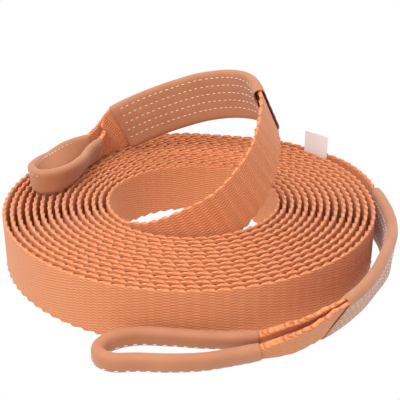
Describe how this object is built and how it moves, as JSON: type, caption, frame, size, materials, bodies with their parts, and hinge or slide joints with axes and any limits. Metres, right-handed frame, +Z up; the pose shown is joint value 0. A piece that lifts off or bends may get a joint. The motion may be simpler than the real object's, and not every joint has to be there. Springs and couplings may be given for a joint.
{
  "type": "tow strap",
  "caption": "Woven webbing tow strap coiled flat on edge, with a sewn, sleeved eye and a stitched splice sleeve at each free end.",
  "frame": {"origin": "middle of the bounding box, on the floor that the strap lies on", "axes": "+Z up, square to the coil; -Y towards the outer eye, +X towards the outer splice sleeve"},
  "size_m": [0.3614, 0.3904, 0.1523],
  "materials": {
    "webbing": "coarse woven polyester",
    "sleeve": "smooth tightly woven wear sleeve",
    "label": "plain satin label"
  },
  "bodies": {
    "root": {"webbing": "webbing", "inner_splice_sleeve": "sleeve", "inner_eye_sleeve": "sleeve", "outer_splice_sleeve": "sleeve", "outer_eye_sleeve": "sleeve", "label": "label"}
  },
  "joints": []
}
